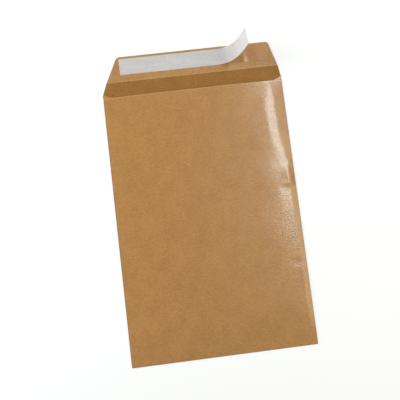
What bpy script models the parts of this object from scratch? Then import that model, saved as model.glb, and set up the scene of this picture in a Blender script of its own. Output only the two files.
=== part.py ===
"""A kraft paper pocket envelope with a peel and seal flap.

The envelope lies on its back on a table. Its width runs along X, its length
along Y with the flap towards +Y, and the open side of the flap faces +Z.
The origin is at the middle of the whole outline, on the table.
"""
import math

import bmesh
import bpy
from mathutils import Vector

# Paper
PAPER = 0.00014
LAYER_GAP = 0.0002

# Folded body, measured over the folds
BODY_WIDTH = 0.229
BODY_LENGTH = 0.3546
MOUTH_DEPTH = 0.0205
POCKET_RISE = 0.0048
SIDE_RISE_WIDTH = 0.045
FOOT_RISE_LENGTH = 0.060

# Side flaps, folded in under the front panel
SIDE_FLAP_WIDTH = 0.018
SIDE_FLAP_SLANT = math.radians(23)
SIDE_FLAP_FOOT = 0.004
SHOULDER_DEPTH = 0.0149
PANEL_SIDE_INSET = 0.0009

# Closing flap: each inset is how far its cut edge lies inside the body's side
FLAP_LENGTH = 0.0319
FLAP_TILT = math.radians(3)
FLAP_CORNER_RADIUS = 0.004
CREASE_INSET_LEFT = 0.0061
CREASE_INSET_RIGHT = 0.0024
TOP_INSET_LEFT = 0.0223
TOP_INSET_RIGHT = 0.0121

# Glue in the two side seams
GLUE_THICKNESS = 0.00006
GLUE_WIDTH = 0.010
GLUE_FROM_FOLD = 0.004
GLUE_END_MARGIN = 0.012

# Adhesive band on the flap, and the liner that covers it
BAND_WIDTH = 0.0204
BAND_FROM_TOP = 0.0028
BAND_LEFT_MARGIN = 0.0245
BAND_RIGHT_MARGIN = 0.0130
ADHESIVE_THICKNESS = 0.00005
FILM_CLEARANCE = 0.00005
LINER_THICKNESS = 0.00008
LINER_TAB = 0.0020
PEELED_LENGTH = 0.0655
CURL_ANGLE = math.radians(86)
CURL_SETTLE = 0.021

# Mesh fineness
SEAM_COLUMNS = 3
MIDDLE_COLUMNS = 6
BODY_ROWS = 16
FOLD_STEPS = 6
CORNER_STEPS = 4
CURL_STEPS = 20
CROWDING = 1.7

# Places that follow from the sizes above
SIDE_FOLD_RADIUS = (PAPER + LAYER_GAP) / 2
FOOT_FOLD_RADIUS = PAPER + LAYER_GAP
FOLD_X = BODY_WIDTH / 2 - PAPER / 2 - SIDE_FOLD_RADIUS
FOOT_Y = PAPER / 2 + FOOT_FOLD_RADIUS
MOUTH_Y = BODY_LENGTH - MOUTH_DEPTH
SHOULDER_Y = BODY_LENGTH - SHOULDER_DEPTH
BACK_Z = PAPER / 2
SIDE_FLAP_Z = BACK_Z + PAPER + LAYER_GAP
FRONT_Z = SIDE_FLAP_Z + PAPER + LAYER_GAP
CENTRE_Y = (BODY_LENGTH + FLAP_LENGTH * math.cos(FLAP_TILT)) / 2

KRAFT = (179, 132, 84)
ADHESIVE = (171, 128, 88)
LINER = (214, 211, 209)
GLUE = (206, 180, 130)


def clear_scene():
    for thing in list(bpy.data.objects):
        bpy.data.objects.remove(thing, do_unlink=True)


def linear(rgb):
    """Turn an 8-bit screen colour into the linear one that a shader takes."""
    return [(value / 255) ** 2.2 for value in rgb] + [1.0]


def make_material(name, rgb, roughness):
    material = bpy.data.materials.new(name)
    material.use_nodes = True
    shader = material.node_tree.nodes["Principled BSDF"]
    shader.inputs["Base Color"].default_value = linear(rgb)
    shader.inputs["Roughness"].default_value = roughness
    shader.inputs["Metallic"].default_value = 0.0
    return material


def place(x, y, z):
    """Measure y from the foot of the envelope, and put the origin in its middle."""
    return Vector((x, y - CENTRE_Y, z))


def add_row(bm, points):
    return [bm.verts.new(point) for point in points]


def join_rows(bm, first, second):
    for i in range(len(first) - 1):
        bm.faces.new((first[i], first[i + 1], second[i + 1], second[i]))


def make_sheet(name, bm, thickness, material):
    """Turn a surface into a closed sheet, with the surface at its mid thickness."""
    bmesh.ops.recalc_face_normals(bm, faces=bm.faces)
    mesh = bpy.data.meshes.new(name)
    bm.to_mesh(mesh)
    bm.free()
    mesh.shade_smooth()
    mesh.set_sharp_from_angle(angle=math.radians(35))
    mesh.materials.append(material)
    sheet = bpy.data.objects.new(name, mesh)
    bpy.context.scene.collection.objects.link(sheet)
    solidify = sheet.modifiers.new("paper thickness", "SOLIDIFY")
    solidify.thickness = thickness
    solidify.offset = 0
    solidify.use_even_offset = True
    return sheet


def ease(distance, straight, reach):
    """Climb from 0 to 1: straight at first, then levelling off until the reach."""
    slope = 2 / (straight + reach)
    bent = min(max(distance - straight, 0), reach - straight)
    return slope * (min(distance, straight) + bent - bent ** 2 / (2 * (reach - straight)))


def rise(x, y):
    """How far the front of the pocket stands above its flat state.

    The glued seams are stiff, so the front stays straight across them.
    """
    from_side = ease(FOLD_X - abs(x), SIDE_FLAP_WIDTH, SIDE_RISE_WIDTH)
    from_foot = ease(y - FOOT_Y, 0, FOOT_RISE_LENGTH)
    return POCKET_RISE * from_side * from_foot


def columns():
    """Places across the body: along each seam, then closer together near the seams."""
    seam = [FOLD_X - SIDE_FLAP_WIDTH * i / SEAM_COLUMNS for i in range(SEAM_COLUMNS)]
    inner = FOLD_X - SIDE_FLAP_WIDTH
    middle = [inner * (1 - (i / MIDDLE_COLUMNS) ** CROWDING) for i in range(MIDDLE_COLUMNS)]
    half = seam + middle
    return [-x for x in half] + [0] + half[::-1]


def body_rows():
    """Distances from the foot up to the mouth, closer together near the foot."""
    shares = [(i / BODY_ROWS) ** CROWDING for i in range(BODY_ROWS + 1)]
    return [SIDE_FLAP_FOOT + share * (MOUTH_Y - SIDE_FLAP_FOOT) for share in shares]


def across(left, right):
    """The same columns, spread between two other edges."""
    return [left + (x + FOLD_X) / (2 * FOLD_X) * (right - left) for x in columns()]


def flap_rows():
    """Distances from the crease, with extra rows where the corners are round."""
    straight = FLAP_LENGTH - FLAP_CORNER_RADIUS
    arc = [straight + FLAP_CORNER_RADIUS * math.sin(math.pi / 2 * i / CORNER_STEPS)
           for i in range(CORNER_STEPS + 1)]
    return [straight / 2] + arc


def flap_point(x, along, above=0.0):
    """A point on the tilted flap, at a distance along it and above its mid thickness."""
    y = BODY_LENGTH + along * math.cos(FLAP_TILT) - above * math.sin(FLAP_TILT)
    return place(x, y, BACK_Z + along * math.sin(FLAP_TILT) + above * math.cos(FLAP_TILT))


def flap_edges(along):
    """Left and right edge of the flap at a distance from the crease."""
    share = along / FLAP_LENGTH
    from_arc = along - (FLAP_LENGTH - FLAP_CORNER_RADIUS)
    cut = 0.0
    if from_arc > 0:
        cut = FLAP_CORNER_RADIUS - math.sqrt(max(FLAP_CORNER_RADIUS ** 2 - from_arc ** 2, 0))
    left_inset = CREASE_INSET_LEFT + share * (TOP_INSET_LEFT - CREASE_INSET_LEFT) + cut
    right_inset = CREASE_INSET_RIGHT + share * (TOP_INSET_RIGHT - CREASE_INSET_RIGHT) + cut
    return left_inset - BODY_WIDTH / 2, BODY_WIDTH / 2 - right_inset


def add_back_and_flap(bm):
    """The back panel with its throat and closing flap. Returns its rows by height."""
    rows = {}
    for y in [FOOT_Y] + body_rows() + [SHOULDER_Y]:
        rows[y] = add_row(bm, [place(x, y, BACK_Z) for x in columns()])
    left, right = flap_edges(0)
    crease = add_row(bm, [place(x, BODY_LENGTH, BACK_Z) for x in across(left, right)])
    body = list(rows.values()) + [crease]
    for along in flap_rows():
        body.append(add_row(bm, [flap_point(x, along) for x in across(*flap_edges(along))]))
    for first, second in zip(body, body[1:]):
        join_rows(bm, first, second)
    return rows


def add_side_flap(bm, rows, side):
    """One side flap: a tight fold at the body's side, and the glued flap under the front."""
    folded = [y for y in rows if SIDE_FLAP_FOOT <= y <= SHOULDER_Y]
    column = [rows[y][0 if side < 0 else -1] for y in folded]
    for i in range(1, FOLD_STEPS + 1):
        turn = math.pi * i / FOLD_STEPS
        x = side * (FOLD_X + SIDE_FOLD_RADIUS * math.sin(turn))
        z = BACK_Z + SIDE_FOLD_RADIUS * (1 - math.cos(turn))
        arc = add_row(bm, [place(x, y, z) for y in folded])
        join_rows(bm, column, arc)
        column = arc
    middle = (SIDE_FLAP_FOOT + SHOULDER_Y) / 2
    half = (SHOULDER_Y - SIDE_FLAP_FOOT) / 2
    for i in range(1, SEAM_COLUMNS + 1):
        width = SIDE_FLAP_WIDTH * i / SEAM_COLUMNS
        x = side * (FOLD_X - width)
        shrink = 1 - width * math.tan(SIDE_FLAP_SLANT) / half
        heights = [middle + (y - middle) * shrink for y in folded]
        line = add_row(bm, [place(x, y, SIDE_FLAP_Z + rise(x, y)) for y in heights])
        join_rows(bm, column, line)
        column = line


def add_front(bm, foot_row):
    """The fold at the foot and the front panel, up to the mouth."""
    panel_x = BODY_WIDTH / 2 - PANEL_SIDE_INSET
    back_x = columns()
    front_x = [-panel_x] + back_x[1:-1] + [panel_x]
    row = foot_row
    for i in range(1, FOLD_STEPS + 1):
        share = i / FOLD_STEPS
        turn = math.pi * share
        y = FOOT_Y - FOOT_FOLD_RADIUS * math.sin(turn)
        z = BACK_Z + FOOT_FOLD_RADIUS * (1 - math.cos(turn))
        arc = add_row(bm, [place(a + share * (b - a), y, z) for a, b in zip(back_x, front_x)])
        join_rows(bm, row, arc)
        row = arc
    for y in body_rows():
        line = add_row(bm, [place(x, y, FRONT_Z + rise(x, y)) for x in front_x])
        join_rows(bm, row, line)
        row = line


def make_envelope_sheet():
    bm = bmesh.new()
    rows = add_back_and_flap(bm)
    for side in (-1, 1):
        add_side_flap(bm, rows, side)
    add_front(bm, rows[FOOT_Y])
    return make_sheet("envelope_sheet", bm, PAPER, make_material("kraft paper", KRAFT, 0.55))


def make_seam_glue(name, side, material):
    """A thin line of glue between a side flap and the front panel."""
    bm = bmesh.new()
    middle_z = (SIDE_FLAP_Z + FRONT_Z) / 2
    outer = GLUE_FROM_FOLD
    xs = [side * (FOLD_X - outer - GLUE_WIDTH * i / SEAM_COLUMNS) for i in range(SEAM_COLUMNS + 1)]
    low = SIDE_FLAP_FOOT + GLUE_END_MARGIN
    high = SHOULDER_Y - GLUE_END_MARGIN - SIDE_FLAP_WIDTH * math.tan(SIDE_FLAP_SLANT)
    ys = [low] + [y for y in body_rows() if low < y < high] + [high]
    rows = [add_row(bm, [place(x, y, middle_z + rise(x, y)) for x in xs]) for y in ys]
    for first, second in zip(rows, rows[1:]):
        join_rows(bm, first, second)
    return make_sheet(name, bm, GLUE_THICKNESS, material)


def band_limits():
    """Lower and upper edge of the adhesive band, as distances along the flap."""
    upper = FLAP_LENGTH - BAND_FROM_TOP
    return upper - BAND_WIDTH, upper


def make_seal_adhesive():
    lower, upper = band_limits()
    left = BAND_LEFT_MARGIN - BODY_WIDTH / 2
    right = BODY_WIDTH / 2 - BAND_RIGHT_MARGIN
    above = PAPER / 2 + FILM_CLEARANCE + ADHESIVE_THICKNESS / 2
    bm = bmesh.new()
    rows = [add_row(bm, [flap_point(x, along, above) for x in (left, right)])
            for along in (lower, upper)]
    join_rows(bm, *rows)
    material = make_material("seal adhesive", ADHESIVE, 0.25)
    return make_sheet("seal_adhesive", bm, ADHESIVE_THICKNESS, material)


def curl_profile():
    """Distance to the right and height of the peeled liner, from where it lifts off."""
    step = (PEELED_LENGTH + LINER_TAB) / CURL_STEPS
    profile = []
    x = 0.0
    z = 0.0
    for i in range(CURL_STEPS):
        turn = CURL_ANGLE * (1 - math.exp(-(i + 0.5) * step / CURL_SETTLE))
        x += step * math.cos(turn)
        z += step * math.sin(turn)
        profile.append((x, z))
    return profile


def make_release_liner():
    """The liner lies on the adhesive, and its right end is peeled and curls up."""
    lower, upper = band_limits()
    left = BAND_LEFT_MARGIN - BODY_WIDTH / 2
    lift_off = BODY_WIDTH / 2 - BAND_RIGHT_MARGIN - PEELED_LENGTH
    above = PAPER / 2 + ADHESIVE_THICKNESS + 2 * FILM_CLEARANCE + LINER_THICKNESS / 2
    bm = bmesh.new()
    rows = [add_row(bm, [flap_point(x, along, above) for along in (lower, upper)])
            for x in (left, lift_off)]
    for x, z in curl_profile():
        edges = [flap_point(lift_off + x, along, above) for along in (lower, upper)]
        rows.append(add_row(bm, [edge + Vector((0, 0, z)) for edge in edges]))
    for first, second in zip(rows, rows[1:]):
        join_rows(bm, first, second)
    material = make_material("release liner", LINER, 0.4)
    return make_sheet("release_liner", bm, LINER_THICKNESS, material)


def main():
    clear_scene()
    make_envelope_sheet()
    glue = make_material("seam glue", GLUE, 0.4)
    make_seam_glue("side_seam_glue_left", -1, glue)
    make_seam_glue("side_seam_glue_right", 1, glue)
    make_seal_adhesive()
    make_release_liner()


main()
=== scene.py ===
"""Looks of the kraft paper pocket envelope, lying open on a pale table."""
import math

import bpy
import numpy as np
from mathutils import Matrix, Vector


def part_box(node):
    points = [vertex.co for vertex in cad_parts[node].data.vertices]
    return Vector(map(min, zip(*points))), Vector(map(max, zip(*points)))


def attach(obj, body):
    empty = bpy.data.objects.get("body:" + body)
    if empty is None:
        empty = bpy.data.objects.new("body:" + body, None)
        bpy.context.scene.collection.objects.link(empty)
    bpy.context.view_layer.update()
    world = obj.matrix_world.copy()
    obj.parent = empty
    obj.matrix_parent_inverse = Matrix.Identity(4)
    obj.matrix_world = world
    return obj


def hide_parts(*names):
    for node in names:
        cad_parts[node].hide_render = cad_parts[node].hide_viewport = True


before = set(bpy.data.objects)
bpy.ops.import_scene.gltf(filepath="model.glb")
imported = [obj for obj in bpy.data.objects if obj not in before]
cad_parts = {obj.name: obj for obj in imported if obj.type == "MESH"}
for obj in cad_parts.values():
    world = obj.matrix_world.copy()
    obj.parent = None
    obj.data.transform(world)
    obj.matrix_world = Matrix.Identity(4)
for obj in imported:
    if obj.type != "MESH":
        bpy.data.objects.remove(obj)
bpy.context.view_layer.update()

# The folded body, in metres: y is measured from the foot until place() centres it
SHEET_LOW, SHEET_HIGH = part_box("envelope_sheet")
WIDTH = SHEET_HIGH.x - SHEET_LOW.x
FOOT_AT = SHEET_LOW.y
PAPER = 0.00014
LAYER_GAP = 0.0002
BODY_LENGTH = 0.3546
MOUTH_DEPTH = 0.0205
MOUTH_Y = BODY_LENGTH - MOUTH_DEPTH
SHOULDER_DEPTH = 0.0149
SHOULDER_Y = BODY_LENGTH - SHOULDER_DEPTH
SIDE_FLAP_WIDTH = 0.018
SIDE_FLAP_SLANT = math.radians(23)
SIDE_FLAP_FOOT = 0.004
PANEL_SIDE_INSET = 0.0009
FOOT_RISE_LENGTH = 0.060
POCKET_RISE = 0.0048

# How the panel climbs from its side fold, at places along its length: y, the
# slope of the margin, where the gentler band starts and ends, and its slope
RIGHT_SIDE = (
    (0.000, 0.26, 0.0060, 0.0200, 0.088),
    (0.070, 0.27, 0.0060, 0.0200, 0.088),
    (0.105, 0.27, 0.0060, 0.0190, 0.088),
    (0.130, 0.28, 0.0064, 0.0190, 0.085),
    (0.158, 0.27, 0.0070, 0.0192, 0.084),
    (0.178, 0.26, 0.0076, 0.0196, 0.088),
    (0.195, 0.25, 0.0078, 0.0220, 0.112),
    (0.203, 0.44, 0.0080, 0.0200, 0.015),
    (0.213, 0.44, 0.0076, 0.0185, 0.015),
    (0.226, 0.30, 0.0060, 0.0135, 0.092),
    (0.244, 0.25, 0.0090, 0.0168, 0.114),
    (0.255, 0.23, 0.0118, 0.0225, 0.118),
    (0.280, 0.22, 0.0132, 0.0250, 0.115),
    (0.306, 0.21, 0.0142, 0.0255, 0.112),
    (0.322, 0.18, 0.0150, 0.0208, 0.110),
    (0.334, 0.15, 0.0156, 0.0198, 0.105),
    (0.342, 0.12, 0.0156, 0.0198, 0.105),
)
LEFT_SIDE = (
    (0.000, 0.20, 0.0080, 0.0240, 0.120),
    (0.334, 0.16, 0.0080, 0.0240, 0.110),
)
SIDE_REACH = 0.108
BAND_FROM_BLUR = 0.0015
BAND_TO_BLUR = 0.0045
TABLE_STEPS = 540

# Shallow buckles of the front panel: middle x and y, direction, half length,
# half width and height
BUCKLES = (
    (0.1050, 0.2035, -8, 0.008, 0.0026, -0.00034),
    (0.104, 0.1020, -7, 0.010, 0.0045, -0.00028),
    (-0.070, 0.290, 62, 0.060, 0.0100, 0.00018),
    (-0.040, 0.245, 50, 0.050, 0.0120, -0.00016),
    (0.020, 0.170, 75, 0.070, 0.0160, 0.00018),
    (-0.030, 0.090, 110, 0.060, 0.0150, -0.00016),
    (0.060, 0.070, 40, 0.050, 0.0120, 0.00016),
    (0.050, 0.300, -60, 0.050, 0.0140, 0.00018),
)
# Waves of the whole panel: height, radians per metre along x and y, and start
WAVES = (
    (0.00016, 38.0, 17.0, 0.4),
    (0.00013, -24.0, 46.0, 1.9),
    (0.00009, 71.0, -33.0, 3.1),
    (0.00006, 52.0, 88.0, 5.0),
)
WAVES_FROM_FOLD = 0.006
WAVES_FROM_FOOT = 0.03

GLUE_THICKNESS = 0.00006
GLUE_WIDTH = 0.010
GLUE_FROM_FOLD = 0.004
GLUE_END_MARGIN = 0.012

FLAP_LENGTH = 0.0319
FLAP_TILT = math.radians(3)
FLAP_CORNER_RADIUS = 0.003
CREASE_INSETS = (0.0061, 0.0024)
TOP_INSETS = (0.0223, 0.0121)

# Pull marks that the peeled liner leaves in the flap, as the buckles above but
# with y along the flap
PULL_MARKS = (
    (0.0690, 0.0120, -77, 0.0100, 0.0036, 0.00066),
    (0.0860, 0.0170, -66, 0.0100, 0.0040, 0.00014),
)
MARKS_FROM_CREASE = 0.006

BAND_WIDTH = 0.0204
BAND_FROM_TOP = 0.0028
BAND_MARGINS = (0.0245, 0.0130)
FILM = 0.00005
FILM_CLEARANCE = 0.00005
# Unevenness of the film's edges: size, radians per metre, and start
RAGGED_EDGE = ((0.00015, 900, 0), (0.00010, 2300, 1))
RAGGED_UPPER_SHARE = 0.6
LINER = 0.00008
PEELED_LENGTH = 0.0655
LINER_TAB = 0.0020
CURL_ANGLE = math.radians(86)
CURL_SETTLE = 0.021
LINER_SPARE = 0.0025
LINER_TWIST = 0.09
LINER_DRIFT = 0.0007

SIDE_FOLD_RADIUS = (PAPER + LAYER_GAP) / 2
FOOT_FOLD_RADIUS = PAPER + LAYER_GAP
FOLD_X = WIDTH / 2 - PAPER / 2 - SIDE_FOLD_RADIUS
FOOT_Y = PAPER / 2 + FOOT_FOLD_RADIUS
BACK_Z = PAPER / 2
SIDE_FLAP_Z = BACK_Z + PAPER + LAYER_GAP
FRONT_Z = SIDE_FLAP_Z + PAPER + LAYER_GAP

# Fineness of the meshes
COLUMNS = 130
SEAM_COLUMNS = 12
BODY_ROWS = 150
THROAT_ROWS = 8
FLAP_ROWS = 20
CORNER_STEPS = 6
FOLD_STEPS = 8
FILM_LENGTH_STEPS = 120
FILM_WIDTH_STEPS = 10
LINER_LENGTH_STEPS = 80
LINER_WIDTH_STEPS = 8
CURL_STEPS = 60
GLUE_STEPS = 6
SHARP_ANGLE = math.radians(40)


def place(x, y, z):
    """A point of the folded body in the frame's own place."""
    return (x, y + FOOT_AT, z)


def ease(distance, straight, reach):
    """Climb from 0 to 1: straight at first, then levelling off until the reach."""
    slope = 2 / (straight + reach)
    bent = min(max(distance - straight, 0), reach - straight)
    return slope * (min(distance, straight) + bent - bent ** 2 / (2 * (reach - straight)))


def bell(distance, width):
    """A smooth bump of height 1."""
    return math.exp(-(distance / width) ** 2)


def smooth(value, low, high):
    """Go from 0 at low to 1 at high, level at both ends."""
    share = min(1, max(0, (value - low) / (high - low)))
    return share * share * (3 - 2 * share)


def tabulate(margin_slope, band_from, band_to, band_slope):
    """Heights at even distances from the fold, levelling off at the reach."""
    step = SIDE_REACH / TABLE_STEPS
    low, inner = [], []
    for i in range(TABLE_STEPS):
        distance = (i + 0.5) * step
        band = smooth(distance, band_from - BAND_FROM_BLUR, band_from + BAND_FROM_BLUR)
        past = smooth(distance, band_to - BAND_TO_BLUR, band_to + BAND_TO_BLUR)
        low.append((margin_slope + (band_slope - margin_slope) * band) * (1 - past))
        inner.append(past * max(0, 1 - (distance - band_to) / (SIDE_REACH - band_to)) ** 2)
    level = (POCKET_RISE - step * sum(low)) / (step * sum(inner))
    return step * np.concatenate(([0], np.cumsum(np.array(low) + level * np.array(inner))))


def tabulate_side(stations):
    """The stations' places along the panel, and a table of heights for each."""
    tables = np.array([tabulate(*rest) for _, *rest in stations])
    return np.array([y for y, *_ in stations]), tables


SIDE_TABLES = {-1: tabulate_side(LEFT_SIDE), 1: tabulate_side(RIGHT_SIDE)}


def side_rise(x, y):
    """Height that the panel has gained by x, between the stations along y."""
    places, tables = SIDE_TABLES[-1 if x < 0 else 1]
    where = min(max(FOLD_X - abs(x), 0), SIDE_REACH) / SIDE_REACH * TABLE_STEPS
    column = min(int(where), TABLE_STEPS - 1)
    heights = tables[:, column] + (where - column) * (tables[:, column + 1] - tables[:, column])
    above = min(max(int(np.searchsorted(places, y)), 1), len(places) - 1)
    share = smooth(y, places[above - 1], places[above])
    return heights[above - 1] + share * (heights[above] - heights[above - 1])


def undulation(x, y):
    """The paper's own unevenness, which dies out at the folds and the foot."""
    height = sum(size * math.sin(a * x + b * y + start) for size, a, b, start in WAVES)
    height += buckle(x, y, BUCKLES)
    from_fold = smooth(FOLD_X - abs(x), 0, WAVES_FROM_FOLD)
    from_foot = smooth(y - FOOT_Y, 0, WAVES_FROM_FOOT)
    return height * from_fold * from_foot


def rise(x, y):
    """Height of the front panel above its flat state."""
    from_foot = ease(y - FOOT_Y, 0, FOOT_RISE_LENGTH)
    return side_rise(x, y) * from_foot + undulation(x, y)


def spread(first, last, steps):
    """Even values from the first to the last."""
    return [first + (last - first) * i / steps for i in range(steps + 1)]


def columns():
    """Places across the body, finer over the side flaps."""
    seam = spread(FOLD_X, FOLD_X - SIDE_FLAP_WIDTH, SEAM_COLUMNS)
    inner = seam[-1]
    middle = spread(-inner, inner, COLUMNS - 2 * SEAM_COLUMNS)
    return [-x for x in seam[:-1]] + middle + seam[-2::-1]


def across(left, right):
    """The same columns, drawn in between two edges."""
    return [left + (x + FOLD_X) / (2 * FOLD_X) * (right - left) for x in columns()]


class Surface:
    """Rows of points joined into faces, as a folded sheet is."""

    def __init__(self):
        self.points = []
        self.faces = []

    def row(self, points):
        start = len(self.points)
        self.points.extend(points)
        return list(range(start, len(self.points)))

    def join(self, first, second):
        for i in range(len(first) - 1):
            self.faces.append((first[i], first[i + 1], second[i + 1], second[i]))

    def join_all(self, rows):
        for first, second in zip(rows, rows[1:]):
            self.join(first, second)


def buckle(x, y, marks):
    """Height of all the long bumps of a table at one point."""
    height = 0.0
    for middle_x, middle_y, angle, length, width, size in marks:
        turn = math.radians(angle)
        dx, dy = x - middle_x, y - middle_y
        along = dx * math.cos(turn) + dy * math.sin(turn)
        side = -dx * math.sin(turn) + dy * math.cos(turn)
        height += size * bell(along, length) * bell(side, width)
    return height


def flap_point(x, along, above=0.0):
    """A point on the flap, by its distance from the crease and above the paper."""
    above += buckle(x, along, PULL_MARKS) * smooth(along, 0, MARKS_FROM_CREASE)
    y = BODY_LENGTH + along * math.cos(FLAP_TILT) - above * math.sin(FLAP_TILT)
    return place(x, y, BACK_Z + along * math.sin(FLAP_TILT) + above * math.cos(FLAP_TILT))


def flap_edges(along):
    """The flap's left and right edge, with its slants and rounded corners."""
    share = along / FLAP_LENGTH
    from_arc = along - (FLAP_LENGTH - FLAP_CORNER_RADIUS)
    cut = 0.0
    if from_arc > 0:
        cut = FLAP_CORNER_RADIUS - math.sqrt(max(FLAP_CORNER_RADIUS ** 2 - from_arc ** 2, 0))
    left, right = [crease + share * (top - crease) + cut
                   for crease, top in zip(CREASE_INSETS, TOP_INSETS)]
    return left - WIDTH / 2, WIDTH / 2 - right


def flap_rows():
    straight = FLAP_LENGTH - FLAP_CORNER_RADIUS
    arc = [straight + FLAP_CORNER_RADIUS * math.sin(math.pi / 2 * i / CORNER_STEPS)
           for i in range(1, CORNER_STEPS + 1)]
    return spread(0, straight, FLAP_ROWS)[1:] + arc


def back_rows():
    return spread(SIDE_FLAP_FOOT, MOUTH_Y, BODY_ROWS)


def add_back(sheet):
    """Back panel, throat and flap; gives the rows that the folds start from."""
    heights = [FOOT_Y] + back_rows() + [SHOULDER_Y]
    rows = {y: sheet.row([place(x, y, BACK_Z) for x in columns()]) for y in heights}
    body = list(rows.values())
    crease_left, crease_right = flap_edges(0)
    for y in spread(SHOULDER_Y, BODY_LENGTH, THROAT_ROWS)[1:]:
        share = (y - SHOULDER_Y) / (BODY_LENGTH - SHOULDER_Y)
        left = -FOLD_X + share * (crease_left + FOLD_X)
        right = FOLD_X + share * (crease_right - FOLD_X)
        body.append(sheet.row([place(x, y, BACK_Z) for x in across(left, right)]))
    for along in flap_rows():
        body.append(sheet.row([flap_point(x, along) for x in across(*flap_edges(along))]))
    sheet.join_all(body)
    return rows


def add_side_flap(sheet, rows, side):
    """The fold at one side and the flap that turns in from it."""
    folded = [y for y in rows if SIDE_FLAP_FOOT <= y <= SHOULDER_Y]
    column = [rows[y][0 if side < 0 else -1] for y in folded]
    for i in range(1, FOLD_STEPS + 1):
        turn = math.pi * i / FOLD_STEPS
        x = side * (FOLD_X + SIDE_FOLD_RADIUS * math.sin(turn))
        z = BACK_Z + SIDE_FOLD_RADIUS * (1 - math.cos(turn))
        arc = sheet.row([place(x, y, z) for y in folded])
        sheet.join(*((column, arc) if side < 0 else (arc, column)))
        column = arc
    middle = (SIDE_FLAP_FOOT + SHOULDER_Y) / 2
    half = (SHOULDER_Y - SIDE_FLAP_FOOT) / 2
    for i in range(1, SEAM_COLUMNS + 1):
        width = SIDE_FLAP_WIDTH * i / SEAM_COLUMNS
        x = side * (FOLD_X - width)
        shrink = 1 - width * math.tan(SIDE_FLAP_SLANT) / half
        heights = [middle + (y - middle) * shrink for y in folded]
        line = sheet.row([place(x, y, SIDE_FLAP_Z + rise(x, y)) for y in heights])
        sheet.join(*((column, line) if side < 0 else (line, column)))
        column = line


def add_front(sheet, foot_row):
    """The fold at the foot and the front panel up to the mouth."""
    panel_x = WIDTH / 2 - PANEL_SIDE_INSET
    back_x = columns()
    front_x = [-panel_x] + back_x[1:-1] + [panel_x]
    row = foot_row
    for i in range(1, FOLD_STEPS + 1):
        share = i / FOLD_STEPS
        turn = math.pi * share
        y = FOOT_Y - FOOT_FOLD_RADIUS * math.sin(turn)
        z = BACK_Z + FOOT_FOLD_RADIUS * (1 - math.cos(turn))
        arc = sheet.row([place(a + share * (b - a), y, z) for a, b in zip(back_x, front_x)])
        sheet.join(arc, row)
        row = arc
    for y in back_rows():
        line = sheet.row([place(x, y, FRONT_Z + rise(x, y)) for x in front_x])
        sheet.join(line, row)
        row = line


def make_sheet(name, surface, thickness, materials):
    """Give a surface its thickness, half of it to each side."""
    mesh = bpy.data.meshes.new(name)
    mesh.from_pydata(surface.points, [], surface.faces)
    mesh.update()
    for material in materials:
        mesh.materials.append(material)
    piece = bpy.data.objects.new(name, mesh)
    bpy.context.scene.collection.objects.link(piece)
    solidify = piece.modifiers.new("thickness", "SOLIDIFY")
    solidify.thickness = thickness
    solidify.offset = 0
    solidify.use_even_offset = True
    solidify.material_offset = min(1, len(materials) - 1)
    solidify.material_offset_rim = len(materials) - 1
    solid = piece.evaluated_get(bpy.context.evaluated_depsgraph_get())
    piece.data = bpy.data.meshes.new_from_object(solid)
    piece.modifiers.clear()
    bpy.data.meshes.remove(mesh)
    piece.data.name = name
    piece.data.shade_smooth()
    piece.data.set_sharp_from_angle(angle=SHARP_ANGLE)
    return piece


class Nodes:
    """Small helper that writes a node tree top down."""

    def __init__(self, name):
        self.material = bpy.data.materials.new(name)
        self.material.use_nodes = True
        self.tree = self.material.node_tree
        self.shader = self.tree.nodes["Principled BSDF"]

    def link(self, source, target):
        self.tree.links.new(source, target)

    def add(self, kind, inputs=(), **settings):
        node = self.tree.nodes.new(kind)
        for key, value in settings.items():
            setattr(node, key, value)
        for key, value in dict(inputs).items():
            socket = node.inputs[key]
            if isinstance(value, bpy.types.NodeSocket):
                self.link(value, socket)
            else:
                socket.default_value = value
        return node

    def place_scaled(self, scale):
        coordinates = self.add("ShaderNodeTexCoord")
        mapping = self.add("ShaderNodeMapping", {"Vector": coordinates.outputs["Object"]})
        mapping.inputs["Scale"].default_value = scale
        return mapping.outputs["Vector"]

    def noise(self, scale, detail, roughness=0.55):
        return self.add("ShaderNodeTexNoise", {
            "Vector": self.place_scaled(scale), "Scale": 1.0,
            "Detail": detail, "Roughness": roughness}).outputs["Fac"]

    def streaks(self, angle, along, across):
        """Noise drawn out along one direction in the sheet's plane."""
        coordinates = self.add("ShaderNodeTexCoord")
        turned = self.add("ShaderNodeMapping", {"Vector": coordinates.outputs["Object"]})
        turned.inputs["Rotation"].default_value = (0, 0, math.radians(angle))
        drawn = self.add("ShaderNodeMapping", {"Vector": turned.outputs["Vector"]})
        drawn.inputs["Scale"].default_value = (along, across, across)
        return self.add("ShaderNodeTexNoise", {
            "Vector": drawn.outputs["Vector"], "Scale": 1.0,
            "Detail": 2.0, "Roughness": 0.6}).outputs["Fac"]

    def position(self, axis):
        coordinates = self.add("ShaderNodeTexCoord")
        return self.add("ShaderNodeSeparateXYZ", {
            "Vector": coordinates.outputs["Object"]}).outputs[axis]

    def ramp(self, factor, low, high, out_low=0.0, out_high=1.0):
        return self.add("ShaderNodeMapRange", {
            "Value": factor, "From Min": low, "From Max": high,
            "To Min": out_low, "To Max": out_high}).outputs["Result"]

    def math(self, operation, first, second):
        return self.add("ShaderNodeMath", {0: first, 1: second}, operation=operation).outputs[0]

    def mix(self, factor, first, second, blend="MIX"):
        node = self.add("ShaderNodeMix", data_type="RGBA", blend_type=blend)
        for key, value in ((0, factor), (6, first), (7, second)):
            if isinstance(value, bpy.types.NodeSocket):
                self.link(value, node.inputs[key])
            else:
                node.inputs[key].default_value = value
        return node.outputs[2]

    def bump(self, height, distance, strength, normal=None):
        node = self.add("ShaderNodeBump", {
            "Height": height, "Distance": distance, "Strength": strength})
        if normal is not None:
            self.link(normal, node.inputs["Normal"])
        return node.outputs["Normal"]


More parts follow.
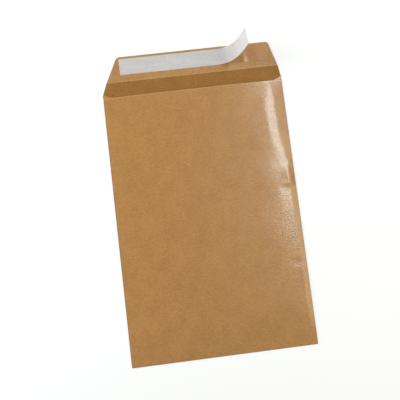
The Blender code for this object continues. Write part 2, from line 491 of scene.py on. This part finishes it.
def screen(red, green, blue):
    """An 8-bit screen colour as the linear one that a shader takes."""
    def linear(value):
        value /= 255
        return value / 12.92 if value <= 0.04045 else ((value + 0.055) / 1.055) ** 2.4
    return (linear(red), linear(green), linear(blue), 1.0)


# Colours, and the factor that lightens the inside's colour on the flap: a painted sheen, as the
# tilted flap catches more light
OUTSIDE_LIGHT = screen(172, 122, 56)
OUTSIDE_DARK = screen(155, 106, 41)
INSIDE_LIGHT = screen(154, 109, 55)
INSIDE_DARK = screen(138, 93, 42)
FLAP_PAINTED_SHEEN = (1.42, 1.65, 2.58, 1.0)
FIBRE_LIGHT = screen(222, 180, 124)
FIBRE_DARK = screen(118, 76, 34)
SPECK = screen(96, 62, 30)
# Painted shade along the folds and the foot, a painted highlight along the mouth's cut edge,
# and a paler line past the crease
FOLD_PAINTED_SHADE = screen(138, 98, 50)
MOUTH_PAINTED_HIGHLIGHT = screen(222, 184, 134)
CREASE_PALE = screen(205, 160, 108)
ADHESIVE_LIGHT = screen(173, 121, 58)
ADHESIVE_DARK = screen(157, 105, 45)
GLUE_LIGHT = screen(206, 180, 130)
GLUE_DARK = screen(188, 158, 108)
LINER_LIGHT = screen(241, 240, 240)
LINER_DARK = screen(222, 220, 219)
WHITE = (1, 1, 1, 1)

# Single fibres: direction in degrees, colour and strength
FIBRES = ((20, FIBRE_LIGHT, 0.30), (-38, FIBRE_DARK, 0.30),
          (75, FIBRE_LIGHT, 0.25), (-80, FIBRE_DARK, 0.22))

# Heights of the paper's relief, in metres
COCKLE_HEIGHT = 0.00010
MOTTLE_HEIGHT = 0.00003
STREAK_HEIGHT = 0.000040
FINE_HEIGHT = 0.00002
LINER_STREAK_HEIGHT = 0.00004
LINER_CLOUD_HEIGHT = 0.00003

# Lines of another colour, painted shade at the folds and the foot, a painted highlight at the
# mouth's cut edge and a paler line past the crease: from and to, in metres from the edge, and
# strength
FOLD_LINE, FOLD_STRENGTH = (0.0012, 0.0006), 0.6
FOOT_LINE, FOOT_STRENGTH = (0.0006, 0.0012), 0.8
MOUTH_LINE, MOUTH_LINE_END, MOUTH_STRENGTH = (0.0009, 0.0003), (0.0001, 0.0003), 0.45
CREASE_LINE, CREASE_STRENGTH = (0.0004, 0.0016), 0.35
CREASE_BLUR = 0.0003

# Shine of the papers, and light that passes through the liner
GLAZE_SPECULAR = 0.28
INSIDE_SPECULAR = 0.3
ADHESIVE_SPECULAR = 0.5
INSIDE_ROUGHNESS = 0.82
FLAP_ROUGHNESS = 0.55
COAT_WEIGHT = 0.90
COAT_ROUGHNESS = 0.22
LINER_THROUGH = 0.50


def kraft(name, light, dark, roughness, relief=1.0):
    """Brown kraft paper: clouds of pulp, a fibrous mottle, and single fibres."""
    n = Nodes(name)
    clouds = n.ramp(n.noise((60, 45, 60), 3.0), 0.30, 0.70)
    mottle = n.ramp(n.noise((330, 420, 330), 3.0, 0.62), 0.32, 0.68)
    streaks = n.ramp(n.streaks(7, 210, 860), 0.32, 0.68)
    tone = n.math("ADD", n.math("MULTIPLY", clouds, 0.30), n.math("MULTIPLY", mottle, 0.40))
    tone = n.math("ADD", tone, n.math("MULTIPLY", streaks, 0.30))
    colour = n.mix(n.ramp(tone, 0.25, 0.75), dark, light)
    for angle, shade, amount in FIBRES:
        fibre = n.ramp(n.streaks(angle, 330, 2600), 0.66, 0.74)
        colour = n.mix(n.math("MULTIPLY", fibre, amount), colour, shade)
    specks = n.ramp(n.noise((1300, 1000, 1200), 1.0, 0.4), 0.25, 0.19)
    colour = n.mix(n.math("MULTIPLY", specks, 0.5), colour, SPECK)
    n.link(colour, n.shader.inputs["Base Color"])
    polish = n.ramp(tone, 0.2, 0.8, roughness + 0.06, roughness - 0.06)
    n.link(polish, n.shader.inputs["Roughness"])
    cockle = n.noise((85, 150, 85), 3.0, 0.55)
    normal = n.bump(cockle, COCKLE_HEIGHT * relief, 1.0)
    normal = n.bump(mottle, MOTTLE_HEIGHT * relief, 1.0, normal)
    normal = n.bump(streaks, STREAK_HEIGHT * relief, 1.0, normal)
    fine = n.noise((1900, 2600, 1900), 2.0, 0.6)
    n.normal = n.bump(fine, FINE_HEIGHT * relief, 0.6, normal)
    n.link(n.normal, n.shader.inputs["Normal"])
    n.colour = colour
    return n


def glazed_outside():
    """The glazed face, with painted shade along its side folds and foot, and a painted
    highlight along the cut edge of the mouth.
    """
    n = kraft("kraft paper glazed outside", OUTSIDE_LIGHT, OUTSIDE_DARK, roughness=0.40)
    n.shader.inputs["Specular IOR Level"].default_value = GLAZE_SPECULAR
    n.shader.inputs["Coat Weight"].default_value = COAT_WEIGHT
    n.shader.inputs["Coat Roughness"].default_value = COAT_ROUGHNESS
    n.link(n.normal, n.shader.inputs["Coat Normal"])
    # Painted shade along the side folds and the foot fold
    across = n.math("ABSOLUTE", n.position("X"), 0.0)
    near_fold = n.ramp(across, FOLD_X - FOLD_LINE[0], FOLD_X - FOLD_LINE[1])
    fold = n.math("MULTIPLY", near_fold, FOLD_STRENGTH)
    near_foot = n.ramp(n.position("Y"), FOOT_AT + FOOT_LINE[0], FOOT_AT + FOOT_LINE[1], 1, 0)
    foot = n.math("MULTIPLY", near_foot, FOOT_STRENGTH)
    n.colour = n.mix(n.math("MAXIMUM", fold, foot), n.colour, FOLD_PAINTED_SHADE)
    # Painted highlight along the cut edge of the mouth
    cut = MOUTH_Y + FOOT_AT
    begins = n.ramp(n.position("Y"), cut - MOUTH_LINE[0], cut - MOUTH_LINE[1])
    ends = n.ramp(n.position("Y"), cut + MOUTH_LINE_END[0], cut + MOUTH_LINE_END[1],
                  MOUTH_STRENGTH, 0)
    pale_line = n.math("MULTIPLY", begins, ends)
    n.colour = n.mix(pale_line, n.colour, MOUTH_PAINTED_HIGHLIGHT)
    n.link(n.colour, n.shader.inputs["Base Color"])
    return n.material


def matt_inside():
    """The unglazed inside: darker and matt, with a painted sheen that lightens the flap past
    the crease, and a paler line just past the crease.
    """
    n = kraft("kraft paper inside", INSIDE_LIGHT, INSIDE_DARK, roughness=0.8, relief=1.3)
    crease = BODY_LENGTH + FOOT_AT
    along = n.position("Y")
    # Painted sheen: the flap past the crease is lightened, as its tilt catches more light
    on_flap = n.ramp(along, crease - CREASE_BLUR, crease + CREASE_BLUR)
    lighter = n.mix(1.0, n.colour, FLAP_PAINTED_SHEEN, "MULTIPLY")
    colour = n.mix(on_flap, n.colour, lighter)
    # A paler line just past the crease
    past = n.ramp(along, crease + CREASE_LINE[0], crease + CREASE_LINE[1], 1.0, 0.0)
    pale_line = n.math("MULTIPLY", n.math("MULTIPLY", on_flap, past), CREASE_STRENGTH)
    colour = n.mix(pale_line, colour, CREASE_PALE)
    n.link(colour, n.shader.inputs["Base Color"])
    roughness = n.ramp(on_flap, 0, 1, INSIDE_ROUGHNESS, FLAP_ROUGHNESS)
    n.link(roughness, n.shader.inputs["Roughness"])
    n.shader.inputs["Specular IOR Level"].default_value = INSIDE_SPECULAR
    return n.material


def liner_material():
    """Thin siliconised paper: faint streaks along it, light passing through it."""
    n = Nodes("release liner paper")
    streaks = n.ramp(n.streaks(0, 26, 620), 0.3, 0.7)
    cloud = n.ramp(n.noise((240, 300, 240), 3.0, 0.6), 0.3, 0.7)
    tone = n.math("ADD", n.math("MULTIPLY", streaks, 0.6), n.math("MULTIPLY", cloud, 0.4))
    colour = n.mix(tone, LINER_DARK, LINER_LIGHT)
    n.link(colour, n.shader.inputs["Base Color"])
    n.link(n.ramp(tone, 0, 1, 0.5, 0.38), n.shader.inputs["Roughness"])
    normal = n.bump(streaks, LINER_STREAK_HEIGHT, 0.4)
    n.link(n.bump(cloud, LINER_CLOUD_HEIGHT, 0.4, normal), n.shader.inputs["Normal"])
    through = n.add("ShaderNodeBsdfTranslucent", {"Color": colour})
    both = n.add("ShaderNodeMixShader", {0: LINER_THROUGH})
    n.link(n.shader.outputs[0], both.inputs[1])
    n.link(through.outputs[0], both.inputs[2])
    n.link(both.outputs[0], n.tree.nodes["Material Output"].inputs["Surface"])
    return n.material


def adhesive_material():
    """A tacky film: the paper's fibres show through under a slightly glossy skin."""
    n = kraft("seal adhesive film", ADHESIVE_LIGHT, ADHESIVE_DARK, roughness=0.31, relief=0.8)
    n.shader.inputs["Specular IOR Level"].default_value = ADHESIVE_SPECULAR
    return n.material


def glue_material():
    """Dried glue, pale and half glossy."""
    n = Nodes("seam glue")
    mottle = n.ramp(n.noise((300, 300, 300), 3.0), 0.3, 0.7)
    n.link(n.mix(mottle, GLUE_DARK, GLUE_LIGHT), n.shader.inputs["Base Color"])
    n.link(n.ramp(mottle, 0, 1, 0.5, 0.35), n.shader.inputs["Roughness"])
    return n.material


def make_envelope():
    """The one folded sheet: back, throat, flap, side flaps and front."""
    sheet = Surface()
    rows = add_back(sheet)
    for side in (-1, 1):
        add_side_flap(sheet, rows, side)
    add_front(sheet, rows[FOOT_Y])
    piece = make_sheet("envelope_paper", sheet, PAPER, [matt_inside(), glazed_outside()])
    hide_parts("envelope_sheet")
    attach(piece, "root")


def band_limits():
    """Distances of the band's two edges from the crease."""
    upper = FLAP_LENGTH - BAND_FROM_TOP
    return upper - BAND_WIDTH, upper


def make_adhesive():
    """The adhesive film on the flap, with uneven edges."""
    lower, upper = band_limits()
    left = BAND_MARGINS[0] - WIDTH / 2
    right = WIDTH / 2 - BAND_MARGINS[1]
    above = PAPER / 2 + FILM_CLEARANCE + FILM / 2
    film = Surface()
    rows = []
    for x in spread(left, right, FILM_LENGTH_STEPS):
        ragged = sum(size * math.sin(rate * x + start) for size, rate, start in RAGGED_EDGE)
        width = spread(lower + ragged, upper + ragged * RAGGED_UPPER_SHARE, FILM_WIDTH_STEPS)
        rows.append(film.row([flap_point(x, along, above) for along in width]))
    film.join_all(rows)
    piece = make_sheet("seal_adhesive_film", film, FILM, [adhesive_material()])
    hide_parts("seal_adhesive")
    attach(piece, "root")


def curl_profile(steps):
    """Distance to the right and height of the peeled liner, from where it lifts off."""
    step = (PEELED_LENGTH + LINER_TAB + LINER_SPARE) / steps
    profile = []
    x = 0.0
    z = 0.0
    for i in range(steps):
        turn = CURL_ANGLE * (1 - math.exp(-(i + 0.5) * step / CURL_SETTLE))
        x += step * math.cos(turn)
        z += step * math.sin(turn)
        profile.append((x, z))
    return profile


def make_liner():
    """The liner: flat over the film, then curling up with a slight twist."""
    lower, upper = band_limits()
    left = BAND_MARGINS[0] - WIDTH / 2
    lift_off = WIDTH / 2 - BAND_MARGINS[1] - PEELED_LENGTH
    above = PAPER / 2 + 2 * FILM_CLEARANCE + FILM + LINER / 2
    strip = Surface()
    width = spread(lower, upper, LINER_WIDTH_STEPS)
    rows = [strip.row([flap_point(x, along, above) for along in width])
            for x in spread(left, lift_off, LINER_LENGTH_STEPS)]
    profile = curl_profile(CURL_STEPS)
    for i, (x, z) in enumerate(profile):
        share = ((i + 1) / len(profile)) ** 2
        points = []
        for along in width:
            twist = LINER_TWIST * ((lower + upper) / 2 - along) * share
            point = Vector(flap_point(lift_off + x + twist, along, above))
            points.append(tuple(point + Vector((0, LINER_DRIFT * share, z))))
        rows.append(strip.row(points))
    strip.join_all(rows)
    piece = make_sheet("release_liner_strip", strip, LINER, [liner_material()])
    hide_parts("release_liner")
    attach(piece, "root")


def make_seam_glue(name, side, material):
    """The glue line between a side flap and the front panel, following both."""
    middle_z = (SIDE_FLAP_Z + FRONT_Z) / 2
    low = SIDE_FLAP_FOOT + GLUE_END_MARGIN
    high = SHOULDER_Y - GLUE_END_MARGIN - SIDE_FLAP_WIDTH * math.tan(SIDE_FLAP_SLANT)
    line = Surface()
    inner = FOLD_X - GLUE_FROM_FOLD - GLUE_WIDTH
    outer = FOLD_X - GLUE_FROM_FOLD
    xs = sorted(side * x for x in spread(inner, outer, GLUE_STEPS))
    rows = [line.row([place(x, y, middle_z + rise(x, y)) for x in xs])
            for y in spread(low, high, BODY_ROWS)]
    line.join_all(rows)
    piece = make_sheet(name + "_line", line, GLUE_THICKNESS, [material])
    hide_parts(name)
    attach(piece, "root")


# The floor, in metres where it is a length
FLOOR_COLOUR = (0.80, 0.80, 0.80, 1)
FLOOR_GLOW = 0.212
# Distances from the middle between which the glow grows to full white
FLOOR_FADE = (0.38, 1.05)
FLOOR_REACH = 6.0
FLOOR_DROP = 0.0002


def floor_material():
    """A plain pale floor, which looks white far away and keeps the shadow close by."""
    n = Nodes("pale floor")
    n.shader.inputs["Base Color"].default_value = FLOOR_COLOUR
    n.shader.inputs["Roughness"].default_value = 1
    n.shader.inputs["Specular IOR Level"].default_value = 0
    path = n.add("ShaderNodeLightPath")
    seen = n.math("MAXIMUM", path.outputs["Is Camera Ray"], path.outputs["Is Glossy Ray"])
    seen = n.math("MAXIMUM", seen, path.outputs["Is Transmission Ray"])
    distance = n.add("ShaderNodeVectorMath")
    distance.operation = "LENGTH"
    n.link(n.add("ShaderNodeNewGeometry").outputs["Position"], distance.inputs[0])
    glow = n.ramp(distance.outputs["Value"], *FLOOR_FADE, FLOOR_GLOW, 1)
    n.shader.inputs["Emission Color"].default_value = WHITE
    n.link(n.math("MULTIPLY", glow, seen), n.shader.inputs["Emission Strength"])
    return n.material


def make_floor():
    """A flat floor just under the part."""
    mesh = bpy.data.meshes.new("floor")
    corners = [(x * FLOOR_REACH, y * FLOOR_REACH, 0)
               for x, y in ((-1, -1), (1, -1), (1, 1), (-1, 1))]
    mesh.from_pydata(corners, [], [(0, 1, 2, 3)])
    mesh.materials.append(floor_material())
    floor = bpy.data.objects.new("floor", mesh)
    floor.location.z = -FLOOR_DROP
    bpy.context.scene.collection.objects.link(floor)


# Lamps: place, aim, size, power, whether it shows as a glint, and colour
LAMPS = {
    "key": ((0.70, 0.39, 1.34), (0.096, 0.05, 0), (0.82, 0.17), 9.1, True, (0.92, 1.01, 1.05)),
    "edge": ((1.05, -0.10, 1.05), (0.1, 0, 0), (1.0, 0.6), 5.4, True, (1.06, 0.96, 0.68)),
    "low": ((-1.10, 0.15, 0.35), (0, 0.15, 0.03), (0.8, 0.4), 6.2, False, (0.94, 1.0, 1.08)),
    "fill": ((-1.15, 0.45, 0.85), (0, 0, 0), (0.9, 0.9), 8.8, False, (1, 1, 1)),
}
SKY_LIGHT = 0.24


def add_area(name, location, aim, size, power, glint, colour):
    """A rectangular lamp whose long side lies along the envelope."""
    light = bpy.data.lights.new(name, "AREA")
    light.shape = "RECTANGLE"
    light.size, light.size_y = size
    light.energy = power
    light.color = colour
    lamp = bpy.data.objects.new(name, light)
    back = (Vector(location) - Vector(aim)).normalized()
    long_side = (Vector((0, 1, 0)) - back * back.y).normalized()
    turn = Matrix((long_side, back.cross(long_side), back)).transposed()
    lamp.matrix_world = Matrix.Translation(location) @ turn.to_4x4()
    lamp.visible_glossy = glint
    bpy.context.scene.collection.objects.link(lamp)


def make_world():
    """A white surround, dimmer as a light than it looks."""
    world = bpy.data.worlds.new("studio")
    bpy.context.scene.world = world
    world.use_nodes = True
    tree = world.node_tree
    background = tree.nodes["Background"]
    background.inputs["Color"].default_value = WHITE
    path = tree.nodes.new("ShaderNodeLightPath")
    seen = path.outputs["Is Camera Ray"]
    for kind in ("Is Glossy Ray", "Is Transmission Ray"):
        either = tree.nodes.new("ShaderNodeMath")
        either.operation = "MAXIMUM"
        tree.links.new(seen, either.inputs[0])
        tree.links.new(path.outputs[kind], either.inputs[1])
        seen = either.outputs[0]
    strength = tree.nodes.new("ShaderNodeMapRange")
    strength.inputs["To Min"].default_value = SKY_LIGHT
    strength.inputs["To Max"].default_value = 1.0
    tree.links.new(seen, strength.inputs["Value"])
    tree.links.new(strength.outputs["Result"], background.inputs["Strength"])


def make_lights():
    for name, lamp in LAMPS.items():
        add_area(name, *lamp)


# Camera, solved from the corners of the front panel in the photograph
CAMERA_AT = Vector((-0.0320, -0.0491, 0.5982))
CAMERA_AIM = Vector((-0.0083, 0.0, 0.0))
CAMERA_ROLL = math.radians(6.97)
LENS = 43.2
SENSOR = 36.0


def make_camera():
    data = bpy.data.cameras.new("camera")
    data.lens = LENS
    data.sensor_width = SENSOR
    data.sensor_fit = "HORIZONTAL"
    data.clip_start = 0.01
    camera = bpy.data.objects.new("camera", data)
    forward = (CAMERA_AIM - CAMERA_AT).normalized()
    up = Vector((0, 1, 0))
    up = (up - forward * up.dot(forward)).normalized()
    up = Matrix.Rotation(CAMERA_ROLL, 3, forward) @ up
    right = forward.cross(up)
    turn = Matrix((right, up, -forward)).transposed()
    camera.matrix_world = Matrix.Translation(CAMERA_AT) @ turn.to_4x4()
    bpy.context.scene.collection.objects.link(camera)
    bpy.context.scene.camera = camera


def main():
    make_camera()
    make_world()
    make_lights()
    make_floor()
    make_envelope()
    make_adhesive()
    make_liner()
    glue = glue_material()
    make_seam_glue("side_seam_glue_left", -1, glue)
    make_seam_glue("side_seam_glue_right", 1, glue)
    bpy.context.scene.view_settings.view_transform = "Standard"


main()
